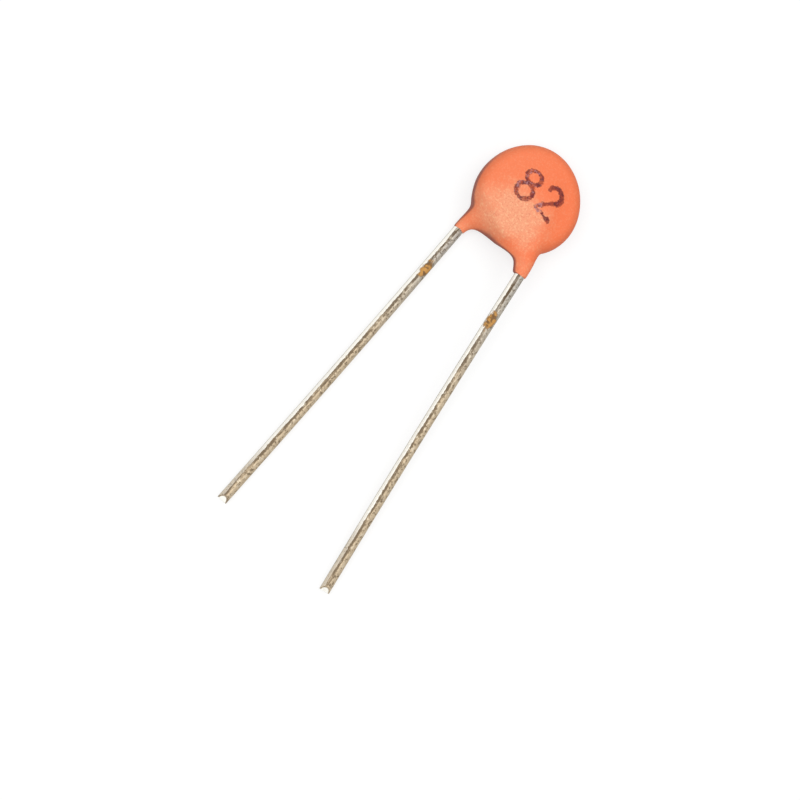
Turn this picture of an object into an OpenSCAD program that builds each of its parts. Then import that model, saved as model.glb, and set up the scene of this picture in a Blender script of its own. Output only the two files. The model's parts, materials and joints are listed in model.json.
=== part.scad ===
// Ceramic disc capacitor with two radial leads, dipped in resin.
// It lies on its rear face: +Z is out of the marked front face, +Y runs from the lead tips
// to the top of the disc, and +X runs across the leads. Millimetres.
// The origin is under the middle of the whole part, on the surface that it lies on.

/* [Ceramic disc] */
// Diameter of the ceramic disc
ceramic_d = 4.2; // [3.8:0.1:4.8]
// Thickness of the ceramic disc
ceramic_t = 0.6; // [0.4:0.05:0.8]
// Chamfer round both edges of the ceramic disc
ceramic_chamfer = 0.05; // [0.02:0.01:0.1]

/* [Electrodes] */
// Bare ceramic left round each silver electrode
electrode_margin = 0.3; // [0.15:0.05:0.5]
// Thickness of each fired silver electrode
electrode_t = 0.02; // [0.02:0.01:0.04]

/* [Solder joints] */
// Solder left between each wire and its electrode
solder_film = 0.02; // [0.02:0.01:0.04]
// Solder over the top of each wire
solder_cover = 0.06; // [0.03:0.01:0.08]
// Half width of each joint where it wets the electrode
solder_foot = 0.5; // [0.4:0.02:0.6]
// Length of each joint between the centres of its round ends
solder_len = 1.1; // [0.6:0.1:1.4]

/* [Leads] */
// Diameter of the tinned wire
wire_d = 0.5; // [0.4:0.02:0.6]
// Distance between the two leads where they bend to run onto the disc
root_pitch = 3.25; // [3.1:0.05:3.6]
// How far below the edge of the ceramic disc each wire bends
root_gap = 0.35; // [0.3:0.05:0.5]
// Distance between the two lead tips
tip_pitch = 6.2; // [4:0.1:8]
// Length of the left lead outside the coat
left_lead_len = 16.55; // [10:0.05:25]
// Length of the right lead outside the coat
right_lead_len = 16.85; // [10:0.05:25]
// Lean of the left wire towards the middle where it crosses the rear electrode, in degrees
left_lean = 28; // [20:1:32]
// Lean of the right wire towards the middle where it crosses the front electrode, in degrees
right_lean = 15; // [8:1:24]
// How far past the centre of the disc each wire ends
wire_reach = 0.9; // [0.4:0.05:1.1]
// Inside radius of the bend at the edge of the disc
root_bend_r = 0.6; // [0.3:0.05:0.9]
// How far the left lead bows inwards at its middle
left_bow = 0.04; // [0.02:0.01:0.3]
// How far the right lead bows inwards at its middle
right_bow = 0.06; // [0.02:0.01:0.3]
// Angle between the wire and each face of its pinched tip, in degrees
tip_cut = 42; // [30:1:60]
// Thickness of the blunt edge left at each tip
tip_land = 0.06; // [0.02:0.01:0.1]

/* [Resin coat] */
// Resin outside the edge of the ceramic disc
rim_wall = 0.42; // [0.3:0.02:0.6]
// Resin over each electrode
face_wall = 0.48; // [0.42:0.02:0.5]
// Resin over each wire where it crosses the disc
ridge_wall = 0.15; // [0.1:0.01:0.25]
// Extra resin at the centre of each face
crown = 0.04; // [0.02:0.01:0.1]
// How far in from the rim the faces start to round over
rim_round = 0.6; // [0.5:0.02:0.7]
// Unevenness of the rim, a swell at each of three places
rim_swell = 0.04; // [0:0.01:0.06]
// Resin below the ceramic disc, between the legs
web_wall = 0.42; // [0.32:0.02:0.46]
// Length of the left leg of resin, from the bend of the wire to its end
left_leg_len = 0.5; // [0.4:0.05:0.8]
// Length of the right leg of resin, from the bend of the wire to its end
right_leg_len = 0.7; // [0.4:0.05:0.8]
// Resin round the wire at the end of the left leg
left_leg_wall = 0.03; // [0.02:0.01:0.08]
// Resin round the wire at the end of the right leg
right_leg_wall = 0.05; // [0.02:0.01:0.08]
// Angle below the middle of the disc at which each flank leaves the round rim, in degrees
flank_angle = 40; // [32:1:42]

/* [Hidden] */
$fn = 96;

// Sides: the left lead runs on the rear electrode, the right lead on the front one.
LEFT = -1;
RIGHT = 1;

ceramic_r = ceramic_d / 2;
wire_r = wire_d / 2;
coat_r = ceramic_r + rim_wall;

// Heights above or below the middle of the ceramic disc
face_z = ceramic_t / 2 + electrode_t;             // outside of an electrode
wire_z = face_z + solder_film + wire_r;           // centre of a wire on its electrode
ridge_z = wire_z + wire_r + ridge_wall;           // top of the resin over a wire
// Height of the middle of the ceramic disc above the surface that the rear ridge lies on
mid_z = ridge_z;

root_y = -ceramic_r - root_gap;
bow_at = 0.5;         // where a lead bows, as a share of its length
bow_bend_r = 40;
bend_swell = 0.004;   // how much a bend thickens the wire
bend_grip = 0.04;     // how far each straight runs into a bend

function unit(v) = v / norm(v);
function mix(a, b, t) = a * (1 - t) + b * t;
function clamp(v, low, high) = min(max(v, low), high);
function ease(t) = let (c = clamp(t, 0, 1)) c * c * (3 - 2 * c);

// ---- wire paths, with heights from the middle of the ceramic disc ----

function lean(side) = side == LEFT ? left_lean : right_lean;
function bow(side) = side == LEFT ? left_bow : right_bow;
function leg_len(side) = side == LEFT ? left_leg_len : right_leg_len;
function leg_wall(side) = side == LEFT ? left_leg_wall : right_leg_wall;
function lead_len(side) = leg_len(side) + (side == LEFT ? left_lead_len : right_lead_len);

function root_point(side) = [side * root_pitch / 2, root_y, side * wire_z];

function inner_end(side) =
    let (rise = wire_reach - root_y)
    root_point(side) + [-side * rise * tan(lean(side)), rise, 0];

// Each tip touches the surface that the part lies on, where the lower face of its cut begins.
cut_len = (wire_r - tip_land / 2) / tan(tip_cut);

function tip_z(side) =
    let (slope = asin((mid_z + side * wire_z - wire_r) / lead_len(side)))
    wire_r * cos(slope) - cut_len * sin(slope) - mid_z;

function tip_point(side) =
    let (across = (tip_pitch - root_pitch) / 2,
         drop = side * wire_z - tip_z(side),
         run = sqrt(pow(lead_len(side), 2) - across * across - drop * drop))
    [side * tip_pitch / 2, root_y - run, tip_z(side)];

function bow_point(side) =
    mix(root_point(side), tip_point(side), bow_at) + [-side * bow(side), 0, 0];

function wire_path(side) = [inner_end(side), root_point(side), bow_point(side), tip_point(side)];

// Middle of the whole part along Y, measured from the centre of the disc
lowest_y = min(tip_point(LEFT).y, tip_point(RIGHT).y);
part_mid_y = (coat_r + rim_swell + lowest_y) / 2;

// Draws its children with the centre of the ceramic disc as their origin.
module at_disc() {
    translate([0, -part_mid_y, mid_z]) children();
}

// ---- round wire ----

// Turns the Z axis of its children to a direction.
module aim(direction) {
    rotate([0, acos(unit(direction).z), atan2(direction.y, direction.x)]) children();
}

module rod(from, to) {
    translate(from) aim(to - from) cylinder(r = wire_r, h = norm(to - from));
}

function short_of(from, to, distance) = to + unit(from - to) * distance;

// How much of each straight a bend takes up
function bend_reach(before, corner, after, radius) =
    let (turn = 180 - acos(unit(before - corner) * unit(after - corner)))
    radius * tan(turn / 2);

module bend(before, corner, after, radius) {
    to_before = unit(before - corner);
    to_after = unit(after - corner);
    turn = 180 - acos(to_before * to_after);
    reach = radius * tan(turn / 2);
    centre = corner + unit(to_before + to_after) * radius / cos(turn / 2);
    spoke = unit(corner + to_before * reach - centre);
    axle = unit(cross(spoke, corner + to_after * reach - centre));
    side = cross(axle, spoke);
    multmatrix([[spoke.x, side.x, axle.x, centre.x],
                [spoke.y, side.y, axle.y, centre.y],
                [spoke.z, side.z, axle.z, centre.z],
                [0, 0, 0, 1]])
        rotate_extrude(angle = turn) translate([radius, 0]) circle(r = wire_r + bend_swell);
}

// Cuts the two slanting faces that side cutters leave at the end of a wire, with a narrow
// blunt edge between them.
module pinch_cut(tip, direction) {
    block = 4 * wire_d;
    translate(tip) aim(direction)
        for (face = [-1, 1])
            translate([face * tip_land / 2, 0, 0]) rotate([0, -face * tip_cut, 0])
                translate([face * block / 2, 0, 0]) cube(block, center = true);
}

module wire(side) {
    path = wire_path(side);
    root_r = root_bend_r + wire_r;
    at_root = bend_reach(path[0], path[1], path[2], root_r) - bend_grip;
    at_bow = bend_reach(path[1], path[2], path[3], bow_bend_r) - bend_grip;
    rod(path[0], short_of(path[0], path[1], at_root));
    bend(path[0], path[1], path[2], root_r);
    rod(short_of(path[2], path[1], at_root), short_of(path[1], path[2], at_bow));
    bend(path[1], path[2], path[3], bow_bend_r);
    rod(short_of(path[3], path[2], at_bow), path[3]);
}

module lead(side) {
    path = wire_path(side);
    difference() {
        wire(side);
        pinch_cut(path[3], path[3] - path[2]);
    }
}

// ---- solder joint: a low mound with round ends that wraps the wire ----

module solder_mound(side) {
    path = wire_path(side);
    along = unit(path[1] - path[0]);
    mound_h = solder_film + wire_d + solder_cover;
    mound_r = (mound_h * mound_h + solder_foot * solder_foot) / (2 * mound_h);
    start = [path[0].x, path[0].y, side * (face_z + mound_h - mound_r)];
    dome = [for (a = [0:15:75]) mound_r * [cos(a), sin(a)]];
    last = len(dome) - 1;
    block = 4 * mound_r + 2 * solder_len;
    intersection() {
        translate(start) aim(along) rotate_extrude() polygon(concat(
            [[0, -dome[last].y]],
            [for (i = [last:-1:0]) [dome[i].x, -dome[i].y]],
            [for (i = [0:last]) [dome[i].x, solder_len + dome[i].y]],
            [[0, solder_len + dome[last].y]]));
        translate([start.x, start.y, side * (face_z + block / 2)]) cube(block, center = true);
    }
}

// ---- resin coat ----

// The way each lead goes where the coat ends on it. The loft runs a little past the end of
// each leg, and is then cut square.
loft_over = 0.1;

function lead_way(side) = unit(bow_point(side) - root_point(side));

function leg_end(side) =
    root_point(side) + lead_way(side) * (leg_len(side) + loft_over);

function leg_r(side) = wire_r + leg_wall(side);

function flat(p) = [p.x, p.y];

// 0 at the left wire and 1 at the right one
function across(p) = ease(p.x / root_pitch + 0.5);

// Height of the wires below the root, shared out across the web between the two legs
function wire_height(side, y) =
    let (way = lead_way(side))
    side * wire_z + (y < root_y ? (y - root_y) * way.z / way.y : 0);

function web_height(p) =
    mix(wire_height(LEFT, p.y), wire_height(RIGHT, p.y), across(p));

// 0 on the disc and 1 at the ends of the legs. The web between the wires stays thick for
// longer than the legs do.
leg_start_y = -0.5 * ceramic_r;
web_start_y = -0.9 * ceramic_r;
leg_stop = 0.8;

function legness(p) =
    let (start_y = mix(web_start_y, leg_start_y, ease(abs(p.x) / root_pitch * 2)),
         stop_y = root_y - leg_stop * mix(leg_len(LEFT), leg_len(RIGHT), across(p)))
    ease((p.y - start_y) / (stop_y - start_y));

// Distance in plan from a point to the wire on one face of the disc
function wire_distance(p, side) =
    let (a = flat(inner_end(side)), b = flat(root_point(side)),
         t = clamp((p - a) * (b - a) / ((b - a) * (b - a)), 0, 1))
    norm(p - mix(a, b, t));

ridge_w = 0.45;
ridge_h = ridge_z - face_z - face_wall - crown;

// Height of one face of the coat above or below the middle of the disc, away from the rim
function coat_height(p, side) =
    let (round_r = norm(p) / coat_r,
         on_disc = face_z + face_wall + crown * (1 - round_r * round_r)
                   + ridge_h * exp(-pow(wire_distance(p, side) / ridge_w, 2)),
         on_leg = side * web_height(p) + mix(leg_r(LEFT), leg_r(RIGHT), across(p)))
    mix(on_disc, on_leg, legness(p));

// Height of the outline of the coat, where its two faces meet: the middle of the disc, and
// further down the middle of each wire
seam_start_y = leg_start_y;

function seam_height(p) =
    web_height(p) * ease((p.y - seam_start_y) / (root_y - seam_start_y));

function bezier(a, b, c, d, t) =
    a * pow(1 - t, 3) + 3 * b * t * pow(1 - t, 2) + 3 * c * t * t * (1 - t) + d * pow(t, 3);

swell_at = 100;    // where the first of the three swells of the rim is, in degrees

// Rim of the round part, at an angle from +X
function rim_point(angle) =
    (coat_r + rim_swell * cos(3 * (angle - swell_at))) * [cos(angle), sin(angle)];

function outward(side) = let (way = unit(flat(lead_way(side)))) side * [-way.y, way.x];

flank_pull = 0.3;
leg_pull = 0.6;
web_pull = 1.2;
// How far the web rises towards each leg
function web_rise(side) = side == LEFT ? 0.2 : 0.02;
// How far each leg bulges above its end, on its outer and inner sides
function outer_swell(side) = side == LEFT ? 0.06 : 0.08;
function inner_swell(side) = side == LEFT ? 0.06 : 0.36;

// Outer edge of a leg, from the round rim (0) to the end of the leg (1)
function outer_edge(side, t) =
    let (from = rim_point(side == RIGHT ? -flank_angle : 180 + flank_angle),
         to = flat(leg_end(side)) + outward(side) * leg_r(side),
         up = unit(flat(lead_way(side))))
    bezier(from, from + flank_pull * [-side * sin(flank_angle), -cos(flank_angle)],
           to - up * leg_pull + outward(side) * outer_swell(side), to, t);

// Inner edge of a leg, from the middle of the web (0) to the end of the leg (1)
function inner_edge(side, t) =
    let (from = [0, -ceramic_r - web_wall],
         to = flat(leg_end(side)) - outward(side) * leg_r(side),
         up = unit(flat(lead_way(side))))
    bezier(from, from + [side * web_pull, web_rise(side)],
           to - up * leg_pull - outward(side) * inner_swell(side), to, t);

// Spine of a leg, from the centre of the disc (0) to the end of the leg (1)
function spine(side, t) =
    let (root = flat(root_point(side)))
    bezier([0, 0], root, root, flat(leg_end(side)), t);

// The outline is a ring of [edge point, spine number]. The two faces of the coat are lofted
// from it to the spines: spine number 0 is the centre of the disc, 1 to LEG are the left
// leg's, and LEG + 1 to 2 * LEG the right leg's. A flat end closes each leg.
LEG = 16;
ARC = 54;

function spine_number(side, k) = k == 0 ? 0 : side == LEFT ? k : LEG + k;

ring = concat(
    [for (i = [0:ARC])
        [rim_point(mix(180 + flank_angle, -flank_angle, i / ARC)), 0]],
    [for (k = [1:LEG]) [outer_edge(RIGHT, k / LEG), spine_number(RIGHT, k)]],
    [for (k = [LEG:-1:0]) [inner_edge(RIGHT, k / LEG), spine_number(RIGHT, k)]],
    [for (k = [1:LEG]) [inner_edge(LEFT, k / LEG), spine_number(LEFT, k)]],
    [for (k = [LEG:-1:1]) [outer_edge(LEFT, k / LEG), spine_number(LEFT, k)]]);
RING = len(ring);

// Places in the ring where it crosses the end of a leg
right_end = ARC + LEG;
left_end = right_end + 2 * LEG + 1;

spines = concat([[0, 0]],
    [for (k = [1:LEG]) spine(LEFT, k / LEG)],
    [for (k = [1:LEG]) spine(RIGHT, k / LEG)]);

// Steps from the outline to the spine, closest together over the rim
STEPS = 13;
fullness = 2.3;    // how full the rim is: 2 is an ellipse

// One point of a face: side is RIGHT for the front face and LEFT for the rear one.
function face_point(i, step, side) =
    let (edge = ring[i][0], middle = spines[ring[i][1]],
         reach = norm(middle - edge),
         share = 1 - cos(90 * step / STEPS),
         p = mix(edge, middle, share),
         rounded = min(share * reach / min(rim_round, reach), 1),
         full = mix(fullness, 2, legness(p)),
         swell = pow(1 - pow(1 - rounded, full), 1 / full))
    [p.x, p.y, mix(seam_height(p), side * coat_height(p, side), swell)];

function spine_vertex(p, side) = [p.x, p.y, side * coat_height(p, side)];

// Vertices: the outline, the steps of the front face, its spines, then the same for the rear.
SIDE = RING * (STEPS - 1) + len(spines);

coat_points = concat(
    [for (i = [0:RING - 1]) face_point(i, 0, RIGHT)],
    [for (side = [RIGHT, LEFT]) each concat(
        [for (step = [1:STEPS - 1]) for (i = [0:RING - 1]) face_point(i, step, side)],
        [for (p = spines) spine_vertex(p, side)])]);

function vertex(i, step, side) =
    step == 0 ? i % RING
    : RING + (side == LEFT ? SIDE : 0)
      + (step < STEPS ? RING * (step - 1) + i % RING
                      : RING * (STEPS - 1) + ring[i % RING][1]);

// Two triangles that meet along the shorter diagonal of a quad
function split(a, b, c, d) =
    norm(coat_points[a] - coat_points[c]) < norm(coat_points[b] - coat_points[d])
        ? [[a, b, c], [a, c, d]] : [[a, b, d], [b, c, d]];

function facing(triangle, side) =
    side == RIGHT ? triangle : [triangle[0], triangle[2], triangle[1]];

skin_faces = [for (side = [RIGHT, LEFT]) for (step = [0:STEPS - 1]) for (i = [0:RING - 1])
    let (a = vertex(i, step, side), b = vertex(i + 1, step, side),
         c = vertex(i + 1, step + 1, side), d = vertex(i, step + 1, side))
    if (i != right_end && i != left_end)
        for (triangle = c == d ? [[a, b, c]] : split(a, b, c, d)) facing(triangle, side)];

// The flat end of a leg: up the front from one edge to the other, and back round the rear
function end_face(i) = concat(
    [for (step = [0:STEPS]) vertex(i + 1, step, RIGHT)],
    [for (step = [STEPS - 1:-1:0]) vertex(i, step, RIGHT)],
    [for (step = [1:STEPS]) vertex(i, step, LEFT)],
    [for (step = [STEPS - 1:-1:1]) vertex(i + 1, step, LEFT)]);

coat_faces = concat(skin_faces, [end_face(right_end), end_face(left_end)]);

// ---- the pieces ----

module ceramic_disc() {
    half_t = ceramic_t / 2;
    color([0.82, 0.78, 0.68]) at_disc()
        rotate_extrude() polygon([
            [0, -half_t], [ceramic_r - ceramic_chamfer, -half_t],
            [ceramic_r, -half_t + ceramic_chamfer], [ceramic_r, half_t - ceramic_chamfer],
            [ceramic_r - ceramic_chamfer, half_t], [0, half_t]]);
}

module electrode(side) {
    at_disc() translate([0, 0, side * (face_z - electrode_t / 2)])
        cylinder(r = ceramic_r - electrode_margin, h = electrode_t, center = true);
}

module front_electrode() { color([0.86, 0.86, 0.84]) electrode(RIGHT); }

module rear_electrode() { color([0.86, 0.86, 0.84]) electrode(LEFT); }

module solder(side) {
    color([0.7, 0.71, 0.72]) at_disc() difference() {
        solder_mound(side);
        wire(side);
    }
}

module front_solder() { solder(RIGHT); }

module rear_solder() { solder(LEFT); }

module left_lead() { color([0.74, 0.69, 0.6]) at_disc() lead(LEFT); }

module right_lead() { color([0.74, 0.69, 0.6]) at_disc() lead(RIGHT); }

// Everything that the resin is dipped over
module core() {
    ceramic_disc();
    for (side = [LEFT, RIGHT]) {
        electrode(side);
        at_disc() solder_mound(side);
        at_disc() wire(side);
    }
}

// The space past the square end of a leg
module past_leg(side) {
    block = 3 * wire_d;
    translate(root_point(side) + lead_way(side) * leg_len(side)) aim(lead_way(side))
        translate([0, 0, block / 2]) cube(block, center = true);
}

module resin_coat() {
    color([1, 0.5, 0.32]) difference() {
        at_disc() polyhedron(coat_points, coat_faces, convexity = 6);
        at_disc() for (side = [LEFT, RIGHT]) past_leg(side);
        core();
    }
}

ceramic_disc();
front_electrode();
rear_electrode();
front_solder();
rear_solder();
left_lead();
right_lead();
resin_coat();
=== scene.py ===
"""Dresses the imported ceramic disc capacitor: its resin coat, its tinned leads and a plain studio."""

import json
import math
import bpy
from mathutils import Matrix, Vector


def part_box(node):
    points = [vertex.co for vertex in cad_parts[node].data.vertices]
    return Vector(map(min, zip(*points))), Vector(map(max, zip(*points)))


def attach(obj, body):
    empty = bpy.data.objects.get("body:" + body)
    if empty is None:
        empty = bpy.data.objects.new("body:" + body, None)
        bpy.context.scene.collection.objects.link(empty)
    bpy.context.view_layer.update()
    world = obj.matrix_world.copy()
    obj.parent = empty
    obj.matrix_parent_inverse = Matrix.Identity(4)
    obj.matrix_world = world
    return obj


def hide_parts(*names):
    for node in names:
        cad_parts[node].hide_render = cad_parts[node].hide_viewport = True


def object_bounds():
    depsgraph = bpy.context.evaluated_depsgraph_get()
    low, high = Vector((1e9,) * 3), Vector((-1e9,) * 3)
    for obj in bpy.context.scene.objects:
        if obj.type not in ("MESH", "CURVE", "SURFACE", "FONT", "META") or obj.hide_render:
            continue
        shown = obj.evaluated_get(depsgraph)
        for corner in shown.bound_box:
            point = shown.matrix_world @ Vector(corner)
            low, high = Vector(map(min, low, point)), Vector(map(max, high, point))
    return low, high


bl_info = {
    "name": "Ceramic Disc Capacitor",
    "version": (1, 0, 0),
    "blender": (4, 5, 0),
    "location": "View3D > Sidebar > Capacitor",
    "description": "Builds the looks of a dipped ceramic disc capacitor round its packed solids",
    "category": "Object",
}

import bmesh
import bpy
from mathutils import Matrix, Vector, noise

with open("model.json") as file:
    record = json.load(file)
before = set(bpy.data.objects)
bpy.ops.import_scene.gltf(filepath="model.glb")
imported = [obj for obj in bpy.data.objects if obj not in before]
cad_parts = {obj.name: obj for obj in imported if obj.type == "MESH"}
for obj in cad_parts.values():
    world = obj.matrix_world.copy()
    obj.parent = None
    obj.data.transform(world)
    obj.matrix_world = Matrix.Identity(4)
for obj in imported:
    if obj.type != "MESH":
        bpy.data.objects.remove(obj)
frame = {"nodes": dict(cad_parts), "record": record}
CAD_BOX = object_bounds()

MM = 0.001
BODY = "root"
LEFT, RIGHT = -1, 1
SIDE_NAMES = {LEFT: "left", RIGHT: "right"}
UP = Vector((0.0, 0.0, 1.0))

# Places on the part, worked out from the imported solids
DISC_LOW, DISC_HIGH = (Vector(corner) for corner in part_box("ceramic_disc"))
DISC_CENTRE = (DISC_LOW + DISC_HIGH) / 2
PINS = {mount["name"]: mount for mount in frame["record"]["mounts"]}
WIRE_R = PINS["left_pin"]["dims"]["r_mm"] * MM


# ---------------------------------------------------------------- settings


class CoatSettings(bpy.types.PropertyGroup):
    """The dipped resin coat."""

    voxel: bpy.props.FloatProperty(
        name="Point spacing", description="Distance between the coat's points",
        default=0.034 * MM, min=0.02 * MM, max=0.2 * MM, unit="LENGTH", precision=6)
    smoothing: bpy.props.IntProperty(
        name="Smoothing", description="Passes that round off the facets", default=14, min=0, max=60)
    ripple: bpy.props.FloatProperty(
        name="Ripple", description="Height of the slow unevenness of the dipped skin",
        default=0.009 * MM, min=0.0, max=0.05 * MM, unit="LENGTH", precision=6)
    colour: bpy.props.FloatVectorProperty(
        name="Colour", description="Colour of the resin", subtype="COLOR", size=3,
        default=(0.93, 0.195, 0.070), min=0.0, max=1.0)
    # Painted sheen: this pale colour stands in for light on the skin between the legs, and paints the
    # left side paler as if lit from there; the specks over it are the resin's own
    pale: bpy.props.FloatVectorProperty(
        name="Pale colour", description="Colour of the finely speckled skin between the legs",
        subtype="COLOR", size=3, default=(0.92, 0.385, 0.215), min=0.0, max=1.0)
    speck: bpy.props.FloatVectorProperty(
        name="Specks", description="Colour of the pale specks in the skin",
        subtype="COLOR", size=3, default=(1.0, 0.58, 0.32), min=0.0, max=1.0)
    pit: bpy.props.FloatVectorProperty(
        name="Pits", description="Colour of the dark pits in the skin",
        subtype="COLOR", size=3, default=(0.78, 0.21, 0.11), min=0.0, max=1.0)
    # Painted shade: this dark colour stands in for the shade on the side of the rim that faces down
    # the leads
    painted_shade: bpy.props.FloatVectorProperty(
        name="Rim", description="Colour of the thin, dusty rim on the side of the leads",
        subtype="COLOR", size=3, default=(0.27, 0.085, 0.065), min=0.0, max=1.0)


class MarkSettings(bpy.types.PropertyGroup):
    """The number stamped on the front face."""

    colour: bpy.props.FloatVectorProperty(
        name="Ink", description="Colour of the stamped ink", subtype="COLOR", size=3,
        default=(0.15, 0.010, 0.015), min=0.0, max=1.0)
    warm: bpy.props.FloatVectorProperty(
        name="Warm ink", description="Colour of the ink where it has turned brown",
        subtype="COLOR", size=3, default=(0.34, 0.045, 0.018), min=0.0, max=1.0)
    bloom: bpy.props.FloatVectorProperty(
        name="Worn ink", description="Colour of the ink where it is thin and greyish",
        subtype="COLOR", size=3, default=(0.40, 0.21, 0.25), min=0.0, max=1.0)
    core: bpy.props.FloatVectorProperty(
        name="Thick ink", description="Colour of the ink where it is thickest",
        subtype="COLOR", size=3, default=(0.05, 0.006, 0.012), min=0.0, max=1.0)
    wear: bpy.props.FloatProperty(
        name="Wear", description="How much of the ink has gone thin and greyish",
        default=0.5, min=0.0, max=1.0)


class LeadSettings(bpy.types.PropertyGroup):
    """The tinned wire leads."""

    root_pitch: bpy.props.FloatProperty(
        name="Pitch at the body", description="Distance between the leads at the edge of the disc",
        default=3.25 * MM, unit="LENGTH", precision=6)
    root_gap: bpy.props.FloatProperty(
        name="Bend below the disc", description="How far below the disc each wire bends",
        default=0.35 * MM, unit="LENGTH", precision=6)
    reach: bpy.props.FloatProperty(
        name="Reach", description="How far past the centre of the disc each wire ends",
        default=0.9 * MM, unit="LENGTH", precision=6)
    left_lean: bpy.props.FloatProperty(
        name="Left lean", description="Lean of the left wire on the disc",
        default=math.radians(28), subtype="ANGLE")
    right_lean: bpy.props.FloatProperty(
        name="Right lean", description="Lean of the right wire on the disc",
        default=math.radians(15), subtype="ANGLE")
    left_bow: bpy.props.FloatProperty(
        name="Left bow", description="How far the left lead bows inwards",
        default=0.04 * MM, unit="LENGTH", precision=6)
    right_bow: bpy.props.FloatProperty(
        name="Right bow", description="How far the right lead bows inwards",
        default=0.06 * MM, unit="LENGTH", precision=6)
    tip_cut: bpy.props.FloatProperty(
        name="Tip cut", description="Angle between the wire and each face of its pinched tip",
        default=math.radians(42), subtype="ANGLE")
    tip_land: bpy.props.FloatProperty(
        name="Tip edge", description="Thickness of the blunt edge at each tip",
        default=0.06 * MM, unit="LENGTH", precision=6)
    waviness: bpy.props.FloatProperty(
        name="Waviness", description="How uneven the tinning is, as a share of the wire's radius",
        default=0.008, min=0.0, max=0.1)
    tin: bpy.props.FloatVectorProperty(
        name="Tin", description="Colour of the tinned wire", subtype="COLOR", size=3,
        default=(0.44, 0.41, 0.36), min=0.0, max=1.0)
    dull: bpy.props.FloatVectorProperty(
        name="Dull tin", description="Colour of the wire towards its tip",
        subtype="COLOR", size=3, default=(0.52, 0.42, 0.29), min=0.0, max=1.0)
    # Painted highlight: this near-white colour stands in for a lamp mirrored in a strip along the
    # wire; the cut tips take it too
    clean: bpy.props.FloatVectorProperty(
        name="Clean tin", description="Colour of the clean strip and of the cut tips",
        subtype="COLOR", size=3, default=(0.92, 0.90, 0.84), min=0.0, max=1.0)
    # Painted reflection: this dark colour stands in for dark surroundings mirrored in a strip along
    # the wire; the pits take it too
    dark_reflection_and_pits: bpy.props.FloatVectorProperty(
        name="Tarnish", description="Colour of the dark streaks along the wire",
        subtype="COLOR", size=3, default=(0.15, 0.105, 0.065), min=0.0, max=1.0)
    fleck: bpy.props.FloatVectorProperty(
        name="Flecks", description="Colour of the bright flecks in the dull tin",
        subtype="COLOR", size=3, default=(0.72, 0.65, 0.52), min=0.0, max=1.0)
    # Painted reflection: this grey stands in for the shaded floor mirrored along the wire's edge
    # towards -X
    flank: bpy.props.FloatVectorProperty(
        name="Flank", description="Colour of the side of the wire below the clean strip",
        subtype="COLOR", size=3, default=(0.40, 0.38, 0.32), min=0.0, max=1.0)
    residue: bpy.props.FloatVectorProperty(
        name="Residue", description="Colour of the amber residue on the wire",
        subtype="COLOR", size=3, default=(0.60, 0.30, 0.07), min=0.0, max=1.0)
    old_residue: bpy.props.FloatVectorProperty(
        name="Old residue", description="Colour of the residue where it has gone brown",
        subtype="COLOR", size=3, default=(0.13, 0.06, 0.015), min=0.0, max=1.0)


class StageSettings(bpy.types.PropertyGroup):
    """The camera, the floor and the lights."""

    view_width: bpy.props.FloatProperty(
        name="View width", description="How much the view takes in",
        default=36.36 * MM, unit="LENGTH", precision=6)
    camera_distance: bpy.props.FloatProperty(
        name="Camera distance", description="Distance from the camera to the part",
        default=0.3, unit="LENGTH")
    camera_tilt: bpy.props.FloatProperty(
        name="Camera tilt", description="Lean of the camera from straight above",
        default=math.radians(15), subtype="ANGLE")
    camera_turn: bpy.props.FloatProperty(
        name="View turn", description="Angle in the view from the part's X axis to level",
        default=math.radians(36.9), subtype="ANGLE")
    floor_colour: bpy.props.FloatVectorProperty(
        name="Floor", description="Colour of the floor", subtype="COLOR", size=3,
        default=(0.32, 0.32, 0.32), min=0.0, max=1.0)


# ---------------------------------------------------------------- mesh helpers


def finished(name, bm, material, smooth=True):
    """An object made from a bmesh."""
    mesh = bpy.data.meshes.new(name)
    for face in bm.faces:
        face.smooth = smooth
    bm.to_mesh(mesh)
    bm.free()
    mesh.materials.append(material)
    piece = bpy.data.objects.new(name, mesh)
    bpy.context.scene.collection.objects.link(piece)
    return piece


def ride(piece, node):
    """Puts a piece on the part's body, in place of a CAD node."""
    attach(piece, BODY)
    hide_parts(node)


def mark_crisp(bm, angle=math.radians(35)):
    """Marks the edges where faces meet at more than an angle as sharp."""
    bm.normal_update()
    for edge in bm.edges:
        if edge.calc_face_angle(0.0) > angle:
            edge.smooth = False


def islands(bm):
    """The separate shells of a bmesh, as lists of faces."""
    left = set(bm.faces)
    shells = []
    while left:
        shell = []
        reached = [left.pop()]
        while reached:
            face = reached.pop()
            shell.append(face)
            for edge in face.edges:
                for other in edge.link_faces:
                    if other in left:
                        left.remove(other)
                        reached.append(other)
        shells.append(shell)
    return shells


def shell_size(shell):
    """The longer side of a shell, seen from above."""
    points = [v.co for face in shell for v in face.verts]
    return max(max(p.y for p in points) - min(p.y for p in points),
               max(p.x for p in points) - min(p.x for p in points))


# ---------------------------------------------------------------- wires

WIRE_SIDES = 40
# Steps of a wire's path on the disc, round its bend and along the lead
DISC_STEPS = 24
BEND_STEPS = 12
LEAD_STEPS = 220
# How far from its corner the bend starts and ends
BEND_REACH = 0.2125 * MM
# Lengths of the slow and the fine unevenness of the tinning
TIN_WAVE = 0.9 * MM
TIN_RIPPLE = 0.22 * MM
# How near points are merged, on a wire and on a CAD solid
MERGE = 0.001 * MM
CAD_MERGE = 0.00001 * MM


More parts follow.
